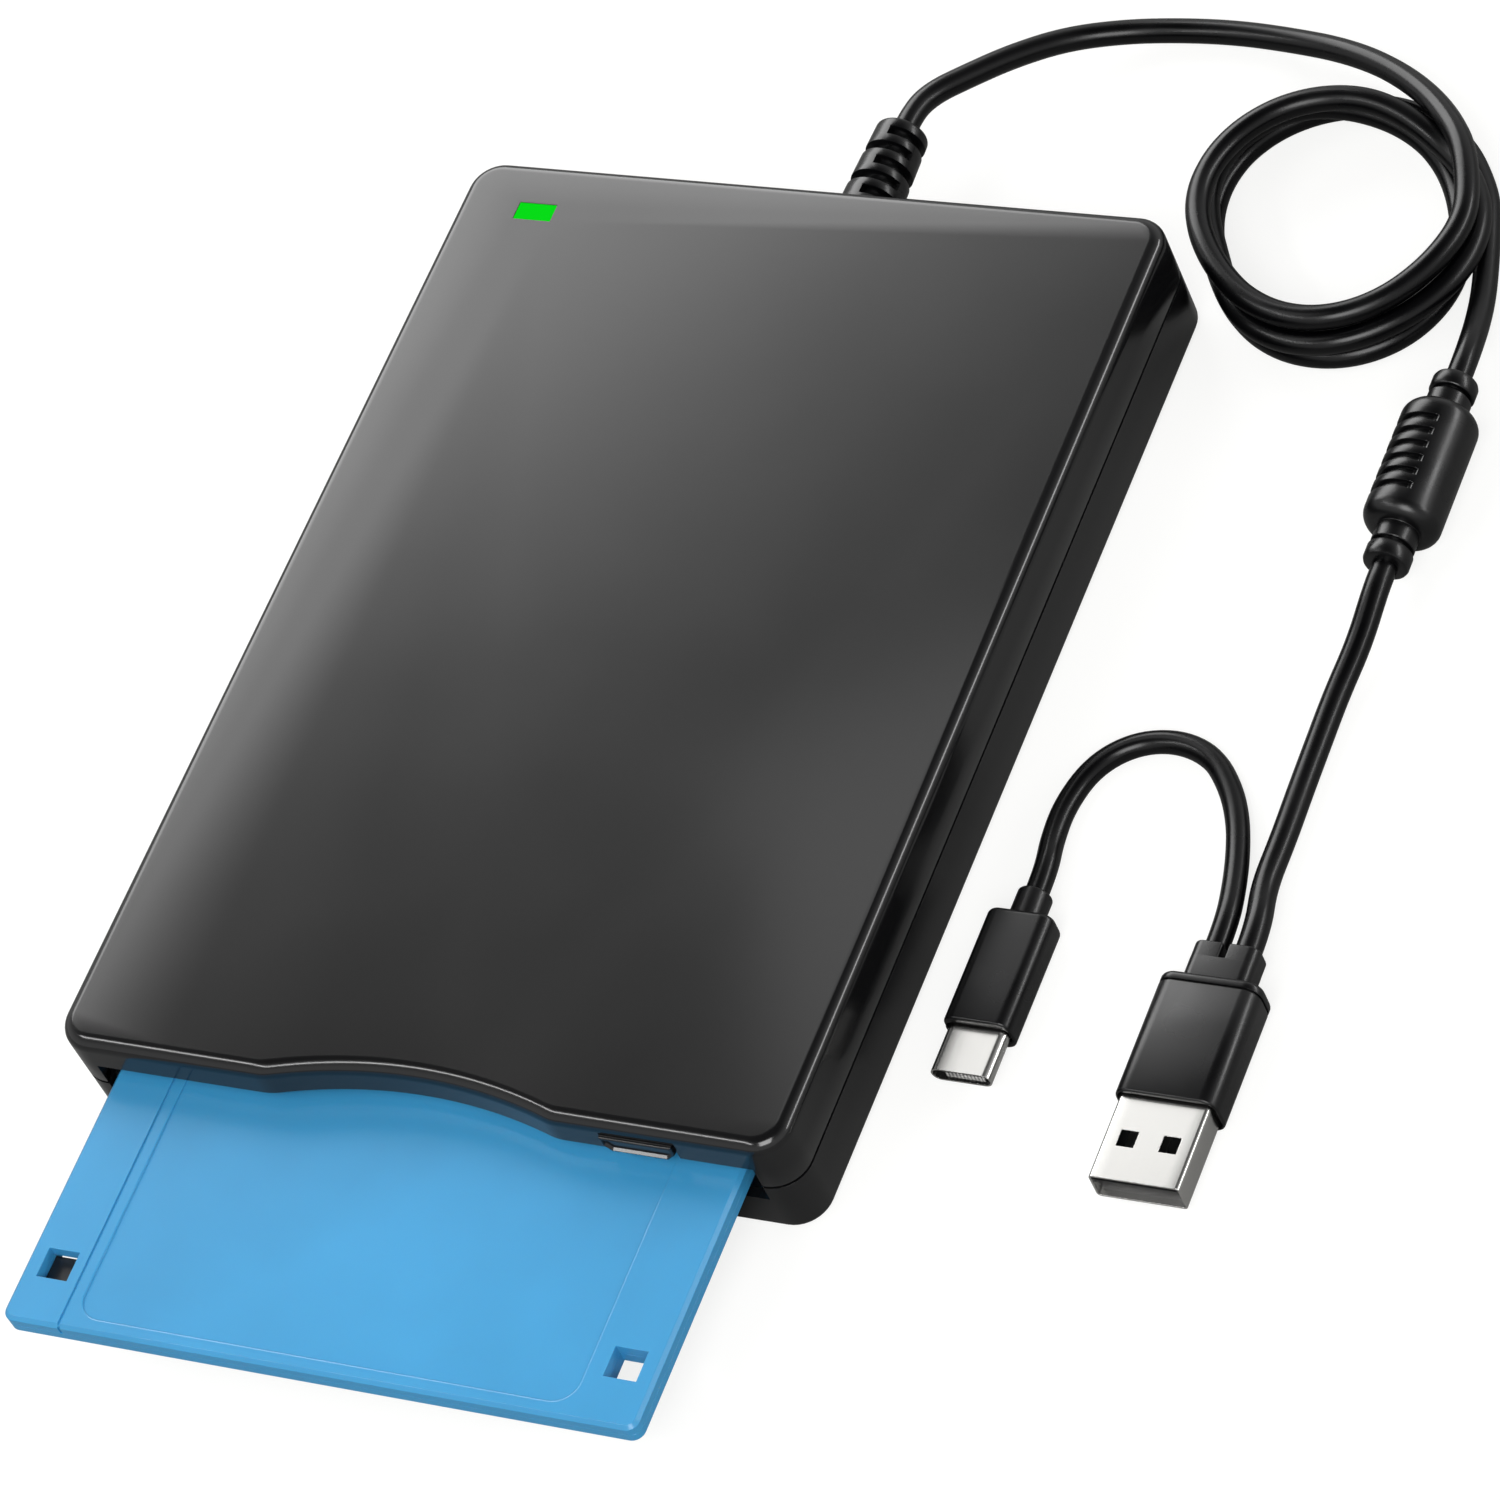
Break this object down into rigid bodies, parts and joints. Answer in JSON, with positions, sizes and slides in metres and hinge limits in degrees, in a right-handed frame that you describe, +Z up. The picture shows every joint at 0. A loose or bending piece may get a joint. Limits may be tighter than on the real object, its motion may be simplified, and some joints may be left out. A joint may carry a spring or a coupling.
{
  "type": "external floppy disk drive",
  "caption": "Slim external 3.5 inch floppy disk drive with a half-inserted disk, eject button, status light and a looped lead with two plugs.",
  "frame": {"origin": "on the surface that the drive stands on, midway between its sides and midway between the disk's label end and the case's back", "axes": "+X to the right seen from the slot, +Y the way the disk goes in, +Z up"},
  "size_m": [0.1499, 0.2287, 0.0185],
  "materials": {
    "cover_plastic": "satin black ABS with a fine moulded grain",
    "button_plastic": "gloss black",
    "rubber": "matt black",
    "screw_steel": "blackened steel",
    "light_green": "clear green light pipe",
    "zinc_sheet": "zinc-plated steel sheet",
    "spring_steel": "stainless sheet",
    "board_green": "solder-masked board",
    "chip_black": "black epoxy",
    "motor_iron": "laminated iron",
    "brass": "sintered bronze",
    "polished_steel": "ground steel",
    "mechanism_plastic": "glass-filled black plastic",
    "ceramic": "ceramic head slider",
    "cable_grey": "flat cable",
    "disk_blue": "moulded blue ABS",
    "shutter_metal": "brushed shutter sheet",
    "media_film": "coated film",
    "cord_pvc": "satin black PVC",
    "plug_pvc": "moulded black PVC",
    "nickel": "nickel-plated steel",
    "plug_insulator": "white insulator",
    "gold": "gold flash"
  },
  "bodies": {
    "case": {"top_cover": "cover_plastic", "bottom_shell": "cover_plastic", "rubber_feet": "rubber", "case_screws": "screw_steel", "status_light_pipe": "light_green", "status_led": "plug_insulator", "chassis_frame": "zinc_sheet", "motor_board": "board_green", "spindle_base": "brass", "spindle_stator": "motor_iron", "guide_rods": "polished_steel", "rod_clamps": "mechanism_plastic", "stepper_motor": "zinc_sheet", "screw_bracket": "zinc_sheet", "usb_board": "board_green", "usb_chip": "chip_black", "logic_board": "board_green", "ribbon_cable": "cable_grey", "disk_switches": "chip_black", "track_sensor": "chip_black", "internal_lead": "cord_pvc", "strain_relief": "plug_pvc", "cord_coil": "cord_pvc", "ferrite_bead": "plug_pvc", "usb_a_overmould": "plug_pvc", "usb_a_shell": "nickel", "usb_a_tongue": "plug_insulator", "usb_a_contacts": "gold", "usb_c_overmould": "plug_pvc", "usb_c_shell": "nickel", "usb_c_contacts": "chip_black", "cord_from_drive": "cord_pvc", "cord_to_ferrite": "cord_pvc", "cord_to_plug": "cord_pvc", "pigtail_cord": "cord_pvc"},
    "eject_slider": {"slide_plate": "spring_steel", "eject_button": "button_plastic"},
    "disk_cage": {"disk_holder": "zinc_sheet"},
    "shutter_lever": {"shutter_lever": "spring_steel"},
    "disk": {"jacket_upper": "disk_blue", "jacket_lower": "disk_blue"},
    "disk_shutter": {"disk_shutter": "shutter_metal"},
    "media": {"disk_media": "media_film", "media_hub": "spring_steel"},
    "protect_slider": {"write_protect_slider": "chip_black"},
    "rotor": {"spindle_rotor": "spring_steel", "spindle_shaft": "polished_steel", "drive_pin": "polished_steel"},
    "carriage": {"head_carriage": "mechanism_plastic", "lower_head": "ceramic", "arm_pin": "polished_steel"},
    "upper_arm": {"head_arm": "mechanism_plastic", "upper_head": "ceramic"},
    "screw": {"lead_screw": "polished_steel"}
  },
  "joints": [
    {"name": "eject_slide", "type": "slide", "parent": "case", "child": "eject_slider", "axis": [0, -1, 0], "range_m": [0, 0.005]},
    {"name": "holder_drop", "type": "slide", "parent": "case", "child": "disk_cage", "axis": [0, 0, -1], "range_m": [0, 0.00155]},
    {"name": "disk_slide", "type": "slide", "parent": "disk_cage", "child": "disk", "axis": [0, 1, 0], "range_m": [-0.06, 0.0372]},
    {"name": "shutter_slide", "type": "slide", "parent": "disk", "child": "disk_shutter", "axis": [1, 0, 0], "range_m": [-0.0078, 0.0049]},
    {"name": "lever_swing", "type": "hinge", "parent": "disk_cage", "child": "shutter_lever", "pos_m": [-0.033, 0.04567, 0.0131], "axis": [0, 0, 1], "range_deg": [-57, 35.5]},
    {"name": "media_spin", "type": "hinge", "parent": "disk", "child": "media", "pos_m": [0, -0.0433, 0.0103], "axis": [0, 0, 1], "continuous": true},
    {"name": "protect_slide", "type": "slide", "parent": "disk", "child": "protect_slider", "axis": [0, 1, 0], "range_m": [0, 0.0044]},
    {"name": "rotor_spin", "type": "hinge", "parent": "case", "child": "rotor", "pos_m": [0, -0.0061, 0.005], "axis": [0, 0, 1], "continuous": true},
    {"name": "head_step", "type": "slide", "parent": "case", "child": "carriage", "axis": [0, -1, 0], "range_m": [0, 0.015]},
    {"name": "head_load", "type": "hinge", "parent": "carriage", "child": "upper_arm", "pos_m": [0, 0.0614, 0.0145], "axis": [1, 0, 0], "range_deg": [0, 6.5]},
    {"name": "screw_spin", "type": "hinge", "parent": "case", "child": "screw", "pos_m": [0.0125, 0.05, 0.0079], "axis": [0, 1, 0], "continuous": true}
  ],
  "couplings": [
    {"joint": "holder_drop", "follows": "eject_slide", "ratio": 0.31},
    {"joint": "head_load", "follows": "eject_slide", "rad_per_m": 22},
    {"joint": "shutter_slide", "follows": "disk_slide", "ratio": 0.1286},
    {"joint": "lever_swing", "follows": "disk_slide", "rad_per_m": 16.421},
    {"joint": "media_spin", "follows": "rotor_spin", "ratio": 1},
    {"joint": "screw_spin", "follows": "head_step", "rad_per_m": 2094.4}
  ]
}
